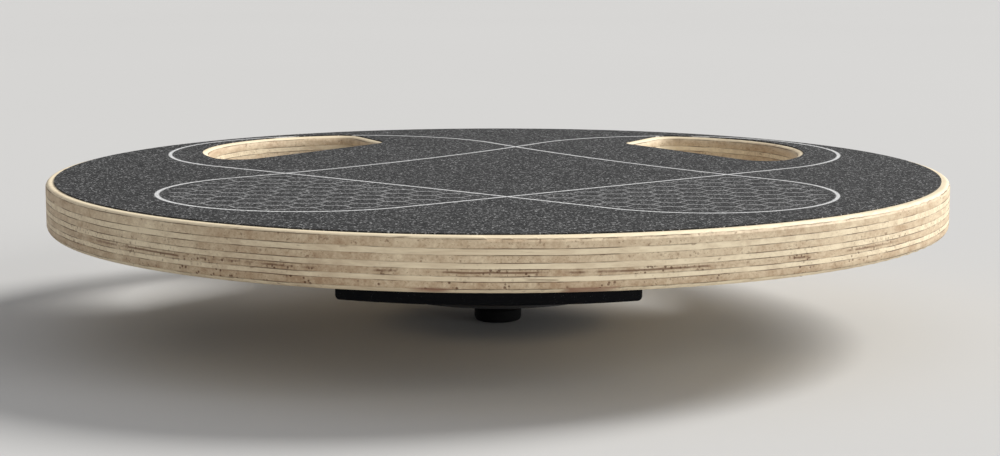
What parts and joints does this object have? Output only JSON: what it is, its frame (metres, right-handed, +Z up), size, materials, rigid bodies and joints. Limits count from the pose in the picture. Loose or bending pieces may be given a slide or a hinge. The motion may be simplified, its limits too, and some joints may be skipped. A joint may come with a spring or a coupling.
{
  "type": "balance board",
  "caption": "Round plywood balance board with a grit top, hand holes, rubber bumper pads and a ball-jointed swivel foot.",
  "frame": {"origin": "on the floor under the middle of the foot", "axes": "+Z up through the deck, +Y towards the hand holes, +X to the right when the hand holes are at the back"},
  "size_m": [0.3999, 0.4, 0.0685],
  "materials": {
    "plywood": "birch plywood, clear matt lacquer, layered edge",
    "grit_sheet": "black anti-slip grit sheet with pale printed lines",
    "plywood_riser": "birch plywood, bare",
    "zinc_screw": "bright zinc plate",
    "beech_dowel": "fluted beech, bare",
    "black_steel": "black powder coat",
    "black_screw": "black oxide",
    "stud_steel": "turned and polished steel",
    "spring_steel": "dull spring steel",
    "liner_plastic": "natural acetal",
    "seat_nylon": "black glass-filled nylon",
    "core_nylon": "black nylon",
    "foot_rubber": "black rubber",
    "pad_rubber": "black moulded rubber, fine texture",
    "zinc_washer": "bright zinc plate"
  },
  "bodies": {
    "board": {"plywood_deck": "plywood", "grip_sheet": "grit_sheet", "riser_block": "plywood_riser", "riser_screws": "zinc_screw", "locating_dowels": "beech_dowel", "foot_plate": "black_steel", "plate_screws": "black_screw", "upper_seat": "seat_nylon", "lower_seat": "seat_nylon", "spring_washer": "spring_steel", "bumper_pad_front": "pad_rubber", "bumper_pad_rear": "pad_rubber", "bumper_pad_left": "pad_rubber", "bumper_pad_right": "pad_rubber", "pad_screws": "black_screw", "pad_washers": "zinc_washer"},
    "swivel_liner": {"ball_liner": "liner_plastic"},
    "swivel_foot": {"ball_stud": "stud_steel", "foot_core": "core_nylon", "rubber_foot": "foot_rubber"}
  },
  "joints": [
    {"name": "tilt_front_back", "type": "hinge", "parent": "board", "child": "swivel_liner", "pos_m": [0, 0, 0.024], "axis": [1, 0, 0], "range_deg": [-12.5, 12.5]},
    {"name": "tilt_side_side", "type": "hinge", "parent": "swivel_liner", "child": "swivel_foot", "pos_m": [0, 0, 0.024], "axis": [0, 1, 0], "range_deg": [-12.5, 12.5]}
  ]
}
